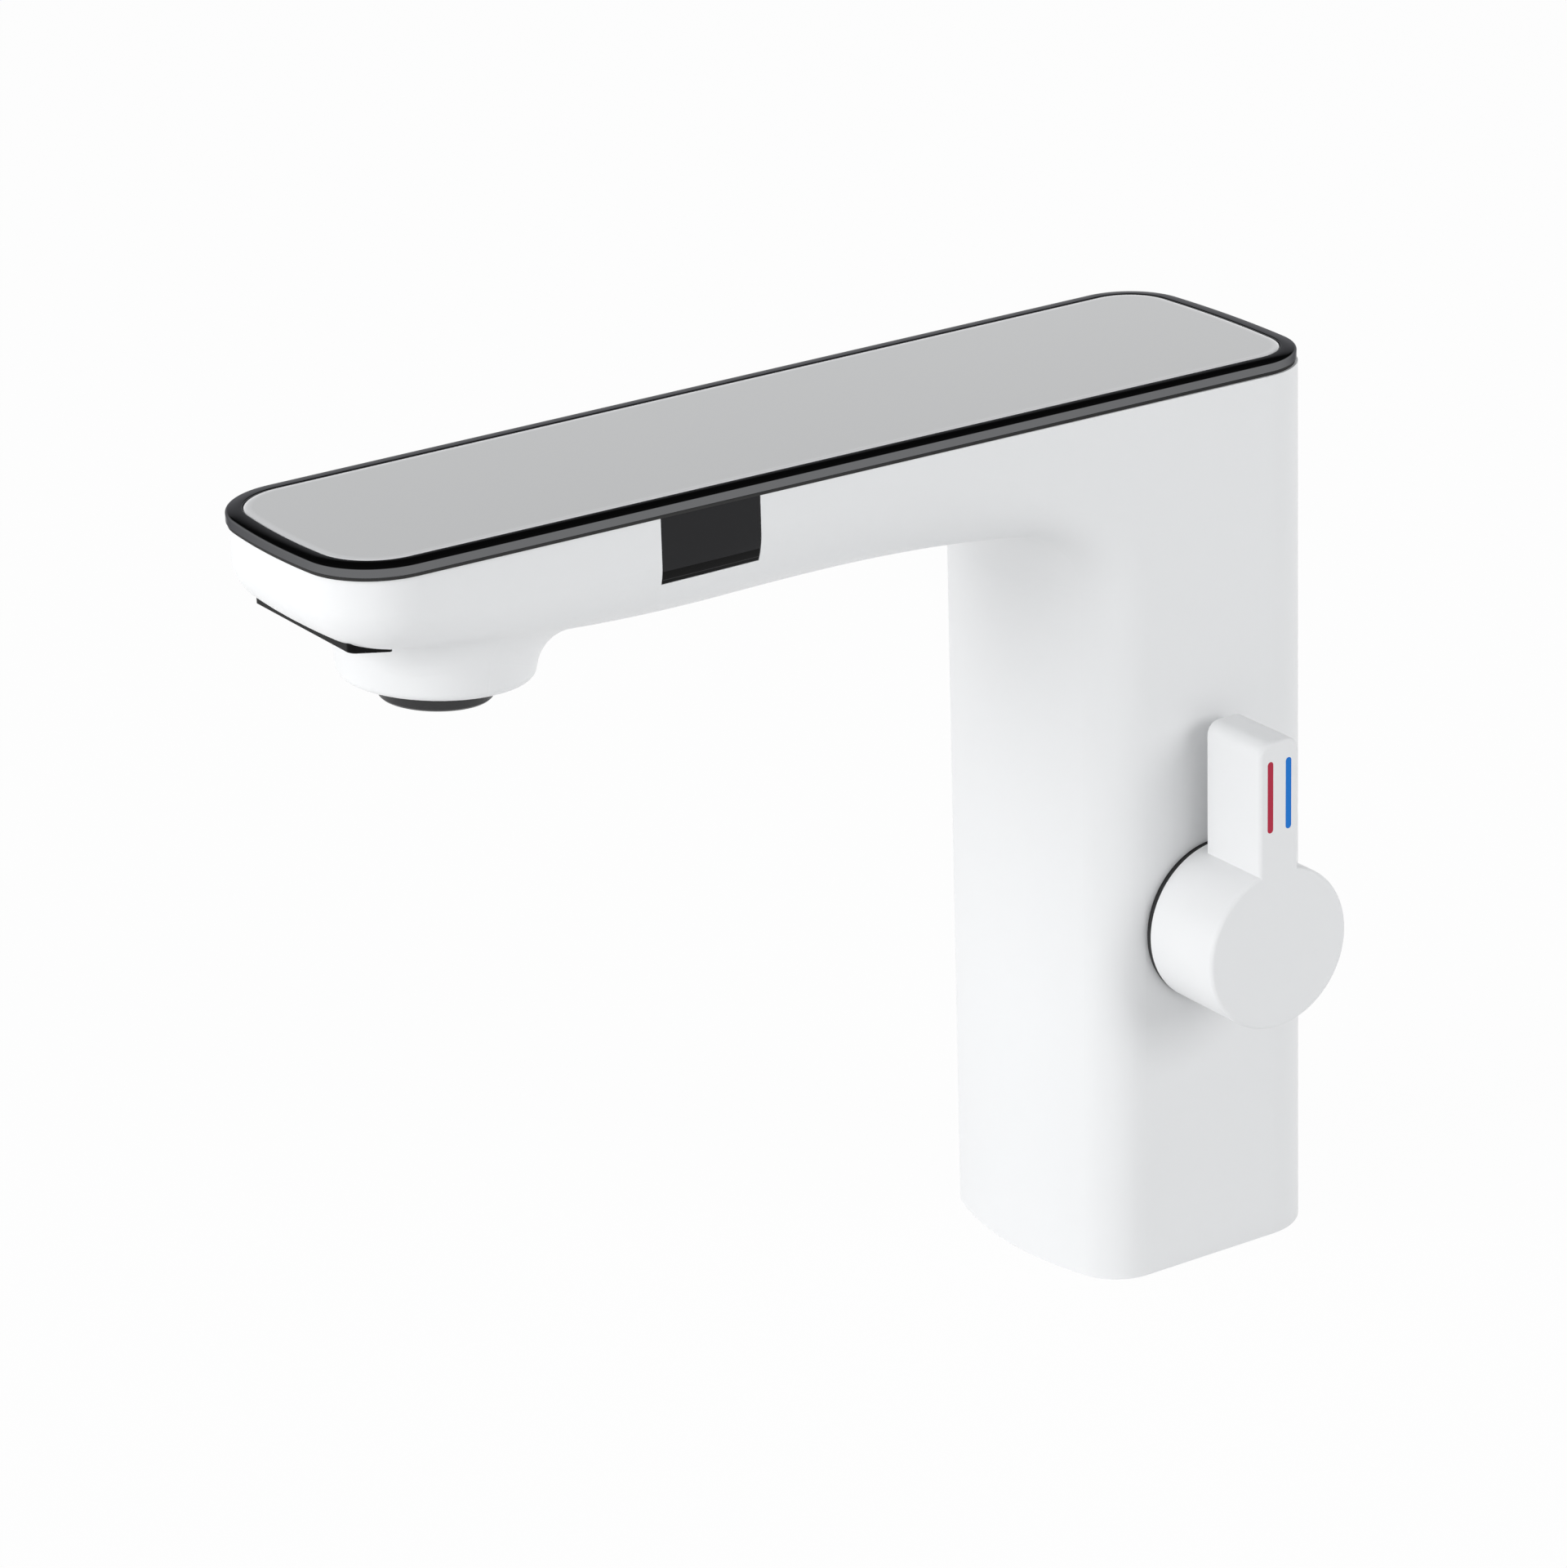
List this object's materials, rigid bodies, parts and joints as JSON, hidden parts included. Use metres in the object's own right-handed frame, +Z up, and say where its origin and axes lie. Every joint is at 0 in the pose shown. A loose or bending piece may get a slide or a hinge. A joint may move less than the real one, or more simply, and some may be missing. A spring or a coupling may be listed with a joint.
{
  "type": "sensor basin tap",
  "caption": "One-piece L-shaped basin tap with a glass touch panel along the spout, infrared sensor windows, a downward aerator outlet and a side lever that sets the water temperature.",
  "frame": {"origin": "middle of the column's foot, on the deck that the tap stands on", "axes": "+Z up; -Y from the column towards the tip of the spout; +X towards the lever, whose hub turns about +X"},
  "size_m": [0.0742, 0.2062, 0.175],
  "materials": {
    "casting_paint": "gloss white powder coat",
    "frame_metal": "polished black coating",
    "touch_glass": "light grey translucent glass, clear edge",
    "diffuser_film": "matt white",
    "circuit_board": "solder resist over glass fibre",
    "black_moulding": "fine matt texture",
    "sensor_window": "polished dark infrared window",
    "sensor_eye": "dark clear epoxy",
    "soft_rubber": "matt black",
    "steel_fixing": "turned, zinc plated",
    "stainless": "drawn stainless steel",
    "aerator_metal": "satin dark grey",
    "aerator_plastic": "satin pale grey",
    "raw_brass": "turned",
    "lever_paint": "gloss white powder coat",
    "hot_red": "enamel filled",
    "cold_blue": "enamel filled",
    "seat_plastic": "satin white",
    "cartridge_plastic": "satin glass-filled moulding",
    "ceramic": "lapped ceramic",
    "valve_plastic": "glass-filled moulding",
    "coil_resin": "overmoulded coil",
    "base_zinc": "as cast"
  },
  "bodies": {
    "tap_body": {"body_casting": "casting_paint", "top_frame": "frame_metal", "glass_panel": "touch_glass", "light_diffuser": "diffuser_film", "display_board": "circuit_board", "display_tray": "black_moulding", "tray_gasket": "soft_rubber", "tray_screws": "steel_fixing", "control_board": "circuit_board", "side_sensor_window": "sensor_window", "side_sensor_board": "circuit_board", "side_sensor_eyes": "sensor_eye", "tip_sensor_window": "sensor_window", "tip_sensor_board": "circuit_board", "tip_sensor_eyes": "sensor_eye", "aerator_ring": "aerator_metal", "aerator_insert": "aerator_plastic", "aerator_seal": "soft_rubber", "outlet_nozzle": "raw_brass", "outlet_elbow": "raw_brass", "spout_tube": "stainless", "tube_seals": "soft_rubber", "handle_seat_ring": "seat_plastic", "stop_ring": "black_moulding", "cartridge_housing": "cartridge_plastic", "fixed_ceramic_disc": "ceramic", "cartridge_nut": "raw_brass", "valve_block": "raw_brass", "hot_inlet_pipe": "raw_brass", "cold_inlet_pipe": "raw_brass", "riser_pipe": "stainless", "pipe_seals": "soft_rubber", "solenoid_valve_body": "valve_plastic", "diaphragm": "soft_rubber", "solenoid_bonnet": "valve_plastic", "plunger_spring": "stainless", "solenoid_coil": "coil_resin", "solenoid_yoke": "steel_fixing", "coil_clip": "steel_fixing", "solenoid_screws": "steel_fixing", "temperature_probe": "raw_brass", "base_plate": "base_zinc", "base_gasket": "soft_rubber", "base_screws": "steel_fixing", "cable_grommet": "soft_rubber"},
    "temperature_handle": {"lever_handle": "lever_paint", "hot_mark": "hot_red", "cold_mark": "cold_blue", "grub_screw": "steel_fixing", "cartridge_stem": "raw_brass", "moving_ceramic_disc": "ceramic"},
    "solenoid_armature": {"solenoid_plunger": "stainless"}
  },
  "joints": [
    {"name": "temperature_turn", "type": "hinge", "parent": "tap_body", "child": "temperature_handle", "pos_m": [0, -0.0005, 0.0695], "axis": [1, 0, 0], "range_deg": [-45, 45]},
    {"name": "plunger_slide", "type": "slide", "parent": "tap_body", "child": "solenoid_armature", "axis": [0, 0, 1], "range_m": [0, 0.0015], "stiffness_N_per_m": 150, "springref_m": -0.002, "deforming": ["plunger_spring"]}
  ]
}
